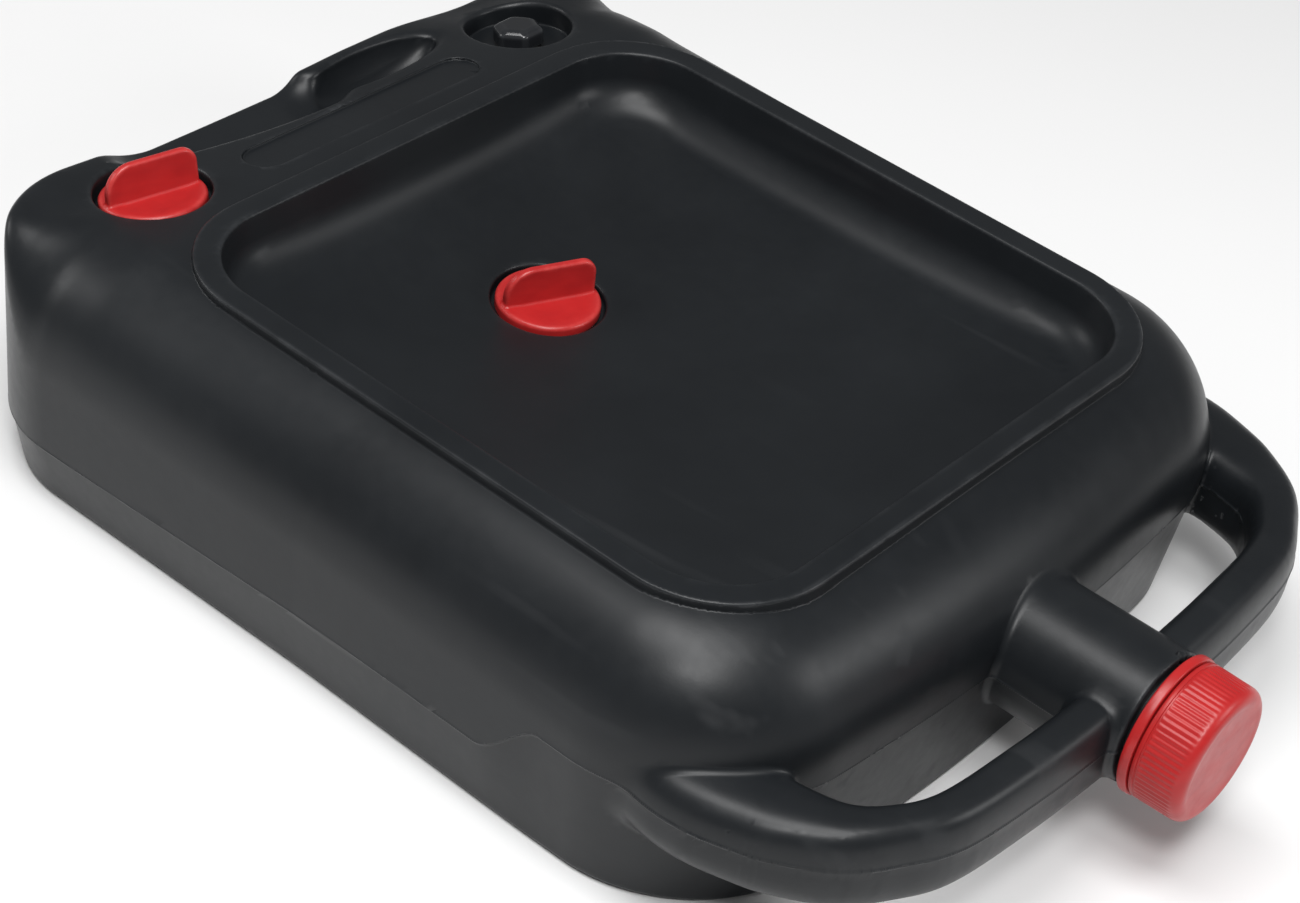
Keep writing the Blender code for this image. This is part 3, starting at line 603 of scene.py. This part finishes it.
def neck_mouth():
    """Threaded mouth of the neck, with the bore behind it."""
    rear, sleeve = BORE_REAR - 1, 23.0
    rows = [(rear, 0), (rear, sleeve), (226, sleeve), (226.3, MOUTH_RADIUS)]
    rows += [(x, MOUTH_RADIUS) for x in np.arange(244.5, 259.2, 0.6)]
    rows += arc(MOUTH_TIP, 23.6, 1.0, 90, 0, 4) + arc(MOUTH_TIP + 0.2, 21.8, 0.8, 0, -90, 4)
    rows += [(rear + 5, BORE), (rear + 3, 19.5), (rear + 3, 0)]

    def radius_at(k, x, radius, angles):
        if radius != MOUTH_RADIUS:
            return plain_radius(k, x, radius, angles)
        return radius + thread_bump(angles, x, CAP_THREAD_PITCH, 1.8, 245.0, 258.0)

    return turned("neck_mouth", radius_at, rows, 144)


def screw_cap():
    """Cap with a smooth band, a groove, fine ribs and a rounded shoulder."""
    back, front, outer, thread = 243.2, 266.2, 30.4, 26.9
    ribs = 72

    def below(*steps):
        """Rows at distances from the cap's back, each so far under its outer radius."""
        return [(back + out, outer - drop) for out, drop in steps]

    band = below((0, 0.9), (0.25, 0.35), (0.7, 0.1), (1.4, 0))
    groove = below((2.1, 0), (2.4, 0.5), (2.9, 0.55), (3.2, 0.1))
    spots = np.arange(back + 3.7, front - 5.2, 1.15)
    skirt = [(x, outer - 0.02 * (x - back - 3.2)) for x in spots]
    shoulder = arc(front - 5.0, outer - 0.3 - 5.0, 5.0, 90, 14, 9)
    face = [(front - 0.03, outer - 4.7), (front, outer - 5.6), (front - 0.12, outer - 6.6)]
    face += [(front - 0.3, outer - 8.0), (front - 0.3, 12.0)]
    face += [(front - 0.25, 4.0), (front - 0.25, 0)]
    inner = [(263.1, 0), (263.1, 25.9), (262.4, 26.7), (260.5, thread)]
    inner += [(x, thread) for x in np.arange(259.9, back + 1.0, -0.75)]
    inner += [(back + 0.4, 27.2), (back, 27.7)]
    rows = inner + band + groove + skirt + shoulder + face
    first_rib = len(inner) + len(band) + len(groove)
    last_rib = first_rib + len(skirt)

    def radius_at(k, x, radius, angles):
        if k < len(inner) and radius == thread:
            return radius - thread_bump(angles, x, CAP_THREAD_PITCH, 1.2, back + 1.5, 259.5)
        grow = smoothstep(first_rib - 1.2, first_rib + 0.5, k)
        grow *= 1 - smoothstep(last_rib - 1, last_rib + 3, k)
        wave = 0.5 + 0.5 * np.cos(angles * ribs)
        return radius - 0.34 * grow * (1 - wave**0.8)

    return turned("cap_shell", radius_at, rows, ribs * 8)


def tamper_ring():
    """Smooth band that stays on the neck, with rounded edges and a slight step."""
    back, outer, inner = 238.2, 31.0, 25.2
    rows = [(back, inner), (back, outer - 1.1)]
    rows += arc(back + 0.9, outer - 0.9, 0.9, 180, 90, 4)[1:]
    rows += [(back + 2.9, outer), (back + 3.2, outer - 0.15)]
    rows += arc(back + 3.5, outer - 1.0, 0.9, 70, 0, 4) + [(back + 4.4, inner)]
    return turned("ring_band", plain_radius, rows, 288, shut=True)


# ---------------------------------------------------------------- materials

class Nodes:
    """Small helper that wires shader nodes of one material."""

    def __init__(self, name, colour, roughness, **inputs):
        self.material = bpy.data.materials.new(name)
        self.material.use_nodes = True
        self.tree = self.material.node_tree
        self.shader = self.tree.nodes["Principled BSDF"]
        self.shader.inputs["Base Color"].default_value = (*colour, 1)
        self.shader.inputs["Roughness"].default_value = roughness
        for key, value in inputs.items():
            self.shader.inputs[key.replace("_", " ")].default_value = value
        self.place = self.add("ShaderNodeTexCoord").outputs["Object"]

    def add(self, kind, **values):
        node = self.tree.nodes.new(kind)
        for key, value in values.items():
            setattr(node, key, value)
        return node

    def link(self, start, end):
        self.tree.links.new(start, end)

    def noise(self, scale, detail=3.0, roughness=0.55, stretch=(1, 1, 1)):
        mapping = self.add("ShaderNodeMapping")
        mapping.inputs["Scale"].default_value = stretch
        self.link(self.place, mapping.inputs["Vector"])
        noise = self.add("ShaderNodeTexNoise")
        for key, value in (("Scale", scale), ("Detail", detail), ("Roughness", roughness)):
            noise.inputs[key].default_value = value
        self.link(mapping.outputs[0], noise.inputs["Vector"])
        return noise.outputs["Fac"]

    def spread(self, source, low, high, to_low, to_high):
        node = self.add("ShaderNodeMapRange")
        keys = ("From Min", "From Max", "To Min", "To Max")
        for key, value in zip(keys, (low, high, to_low, to_high)):
            node.inputs[key].default_value = value
        self.link(source, node.inputs["Value"])
        return node.outputs["Result"]

    def maths(self, operation, a, b):
        node = self.add("ShaderNodeMath", operation=operation)
        for socket, value in zip(node.inputs, (a, b)):
            if isinstance(value, (int, float)):
                socket.default_value = value
            else:
                self.link(value, socket)
        return node.outputs[0]

    def mix(self, share, a, b):
        node = self.add("ShaderNodeMix", data_type="RGBA")
        self.link(share, node.inputs["Factor"])
        for key, value in ((6, a), (7, b)):
            if isinstance(value, tuple):
                node.inputs[key].default_value = (*value, 1)
            else:
                self.link(value, node.inputs[key])
        return node.outputs[2]

    def bump(self, *layers):
        """layers are (height output, distance in metres, strength), coarse first."""
        normal = None
        for height, distance, strength in layers:
            node = self.add("ShaderNodeBump")
            node.inputs["Distance"].default_value = distance
            node.inputs["Strength"].default_value = strength
            self.link(height, node.inputs["Height"])
            if normal is not None:
                self.link(normal, node.inputs["Normal"])
            normal = node.outputs["Normal"]
        self.link(normal, self.shader.inputs["Normal"])

    def edge(self):
        return self.add("ShaderNodeAttribute", attribute_name="edge").outputs["Fac"]


def tank_plastic():
    """Satin black polyethylene: slow mottling, fine mould grain, rubbed edges and
    a few long scuffs."""
    m = Nodes("tank_black", (0.013, 0.014, 0.0155), 0.4, Specular_IOR_Level=0.3)
    cloud = m.noise(9, 4, 0.6)
    fine = m.noise(160, 4, 0.6)
    scuff = m.noise(60, 2, 0.5, (0.06, 1.0, 1.0))
    scuff_place = m.spread(m.noise(5, 1), 0.5, 0.66, 0, 1)
    scuff_mask = m.maths("MULTIPLY", m.spread(scuff, 0.62, 0.74, 0, 1), scuff_place)
    rubbed = m.maths("MULTIPLY", m.edge(), m.spread(m.noise(35, 4, 0.7), 0.42, 0.7, 0.15, 1))
    dark, light = (0.0068, 0.0080, 0.0095), (0.0102, 0.0119, 0.0138)
    base = m.mix(m.spread(cloud, 0.3, 0.7, 0, 1), dark, light)
    base = m.mix(m.maths("MULTIPLY", rubbed, 0.5), base, (0.055, 0.058, 0.062))
    base = m.mix(m.maths("MULTIPLY", scuff_mask, 0.25), base, (0.045, 0.047, 0.05))
    m.link(base, m.shader.inputs["Base Color"])
    grain = m.spread(fine, 0.3, 0.7, -0.025, 0.025)
    rough = m.maths("ADD", m.spread(cloud, 0.3, 0.7, 0.33, 0.41), grain)
    rough = m.maths("ADD", rough, m.maths("MULTIPLY", scuff_mask, 0.12))
    m.link(rough, m.shader.inputs["Roughness"])
    m.bump(
        (m.noise(26, 1, 0.4), 0.0006, 0.22),
        (fine, 0.00012, 0.3),
        (m.noise(900, 2, 0.6), 0.00004, 0.35),
    )
    return m.material


def red_plastic():
    """Injection-moulded red with faint flow marks and paler worn edges."""
    m = Nodes("closure_red", (0.57, 0.024, 0.024), 0.32, Specular_IOR_Level=0.4)
    flow = m.noise(70, 3, 0.5, (1, 1, 2.5))
    base = m.mix(m.spread(flow, 0.3, 0.7, 0, 1), (0.36, 0.013, 0.014), (0.43, 0.017, 0.017))
    rubbed = m.maths("MULTIPLY", m.edge(), m.spread(m.noise(90, 4, 0.7), 0.4, 0.7, 0.1, 0.55))
    m.link(m.mix(rubbed, base, (0.70, 0.10, 0.09)), m.shader.inputs["Base Color"])
    m.link(m.spread(m.noise(120, 4, 0.6), 0.3, 0.7, 0.3, 0.4), m.shader.inputs["Roughness"])
    m.bump((m.noise(60, 2, 0.5), 0.0003, 0.12), (m.noise(1400, 2, 0.5), 0.00003, 0.25))
    return m.material


def gloss_plastic():
    """Glossy black of the vent cap, with its edges rubbed a little."""
    black = (0.012, 0.013, 0.015)
    m = Nodes("vent_black", black, 0.14)
    m.link(m.spread(m.noise(200, 4, 0.6), 0.3, 0.7, 0.1, 0.2), m.shader.inputs["Roughness"])
    base = m.mix(m.maths("MULTIPLY", m.edge(), 0.5), black, (0.05, 0.053, 0.057))
    m.link(base, m.shader.inputs["Base Color"])
    m.bump((m.noise(150, 2, 0.5), 0.0002, 0.1))
    return m.material


def rubber():
    """Matte rubber with a little dust."""
    m = Nodes("seal_rubber", (0.028, 0.028, 0.029), 0.68)
    m.link(m.spread(m.noise(400, 4, 0.6), 0.3, 0.7, 0.6, 0.78), m.shader.inputs["Roughness"])
    dust = m.spread(m.noise(120, 3), 0.5, 0.75, 0, 0.5)
    dusty = m.mix(dust, (0.026, 0.026, 0.027), (0.07, 0.068, 0.065))
    m.link(dusty, m.shader.inputs["Base Color"])
    m.bump((m.noise(700, 3, 0.6), 0.0001, 0.3))
    return m.material


def foam():
    """Closed-cell liner: small cells with a faint yellowing."""
    m = Nodes("liner_foam", (0.74, 0.74, 0.71), 0.82)
    yellowing = m.spread(m.noise(60, 3), 0.35, 0.7, 0, 1)
    base = m.mix(yellowing, (0.76, 0.76, 0.73), (0.66, 0.63, 0.55))
    m.link(base, m.shader.inputs["Base Color"])
    cells = m.add("ShaderNodeTexVoronoi")
    cells.inputs["Scale"].default_value = 1600
    m.link(m.place, cells.inputs["Vector"])
    m.bump((cells.outputs["Distance"], 0.00015, 0.5))
    return m.material


# ---------------------------------------------------------------- the pieces

def place(obj, site, height):
    """Puts a piece made about its own axis on a site, and applies the move."""
    (x, y, z), lean = site
    spot = Matrix.Translation((x * MM, y * MM, z * MM)) @ Matrix.Rotation(lean, 4, "Y")
    obj.data.transform(spot @ Matrix.Translation((0, 0, height * MM)))
    obj.data.update()


def dress(obj, material, body, node):
    """Gives a piece its material and its body, and hides the CAD node it stands for."""
    obj.data.materials.append(material)
    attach(obj, body)
    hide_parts(node)


black, red, gloss, seal, liner = tank_plastic(), red_plastic(), gloss_plastic(), rubber(), foam()

shell = field_piece(
    "tank_shell", body_field, (-272, -200, -6), (242, 200, 130),
    step=4.0, shortest=1.0 * FINE, bend=13, rounds=3, band=seam_band,
)
dress(shell, black, "tank", "tank_body")
dress(neck_mouth(), black, "tank", "tank_body")
dress(screw_cap(), red, "spout_cap", "spout_cap")
dress(tamper_ring(), red, "tank", "cap_tamper_ring")

for label, site, depth, turn in (
    ("rear_plug", REAR_SITE, REAR_RECESS, math.radians(-14)),
    ("tray_plug", TRAY_SITE, TRAY_RECESS, math.radians(-23)),
):
    plug = field_piece(
        f"{label}_winged", plug_field(turn), (-26, -26, -17), (26, 26, 25),
        step=1.1 * FINE, shortest=0.45 * FINE, bend=14, rounds=1,
    )
    place(plug, site, PLUG_SEAT - depth)
    dress(plug, red, label, label)

cap = field_piece(
    "vent_hex", vent_cap_field, (-15, -15, -15), (15, 15, 11),
    step=0.7 * FINE, shortest=0.3 * FINE, bend=14, rounds=1,
)
place(cap, VENT_SITE, VENT_SEAT - VENT_RECESS)
dress(cap, gloss, "vent_cap", "vent_cap")

for node, material in (
    ("rear_plug_seal", seal), ("tray_plug_seal", seal), ("vent_seal", seal), ("cap_liner", liner),
):
    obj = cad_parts[node]
    obj.data.materials.clear()
    obj.data.materials.append(material)


# ---------------------------------------------------------------- floor, light and camera

def floor():
    half, level = 6, -0.0004
    corners = [(x * half, y * half, level) for x, y in ((-1, -1), (1, -1), (1, 1), (-1, 1))]
    mesh = bpy.data.meshes.new("floor")
    mesh.from_pydata(corners, [], [(0, 1, 2, 3)])
    obj = bpy.data.objects.new("floor", mesh)
    bpy.context.scene.collection.objects.link(obj)
    m = Nodes("floor_pale", (0.8, 0.8, 0.8), 0.6)
    m.link(m.spread(m.noise(3, 3), 0.3, 0.7, 0.55, 0.65), m.shader.inputs["Roughness"])
    mesh.materials.append(m.material)


def area_light(name, spot, target, width, height, power):
    """Rectangular lamp at spot, turned to target; metres and watts."""
    data = bpy.data.lights.new(name, "AREA")
    data.energy = power
    data.shape = "RECTANGLE"
    data.size, data.size_y = width, height
    obj = bpy.data.objects.new(name, data)
    bpy.context.scene.collection.objects.link(obj)
    obj.location = spot
    obj.rotation_euler = (Vector(target) - Vector(spot)).to_track_quat("-Z", "Y").to_euler()


floor()
world = bpy.data.worlds.new("studio")
bpy.context.scene.world = world
world.use_nodes = True
backdrop = world.node_tree.nodes["Background"]
backdrop.inputs["Color"].default_value = (1, 1, 1, 1)
backdrop.inputs["Strength"].default_value = 0.17
area_light("overhead", (0.1, -0.45, 2.1), (0, 0, 0), 1.7, 0.8, power=40)
area_light("key", (0.75, -1.0, 1.75), (0.1, -0.1, 0), 0.5, 0.4, power=17)
area_light("left", (-1.9, -0.9, 1.0), (0, 0, 0.05), 0.7, 0.7, power=8)
area_light("right", (1.9, 1.0, 1.2), (0, 0, 0.05), 0.8, 0.8, power=14)
bpy.context.scene.view_settings.view_transform = "Standard"

camera = bpy.data.cameras.new("camera")
camera.lens = 80.674
camera.sensor_width = 36
camera.clip_start = 0.01
view = bpy.data.objects.new("camera", camera)
bpy.context.scene.collection.objects.link(view)
view.matrix_world = Matrix((
    (0.745873, -0.475861, 0.466079, 0.568733),
    (0.656295, 0.405480, -0.636288, -0.811926),
    (0.113799, 0.780476, 0.614742, 0.819741),
    (0, 0, 0, 1),
))
bpy.context.scene.camera = view

bpy.context.view_layer.update()
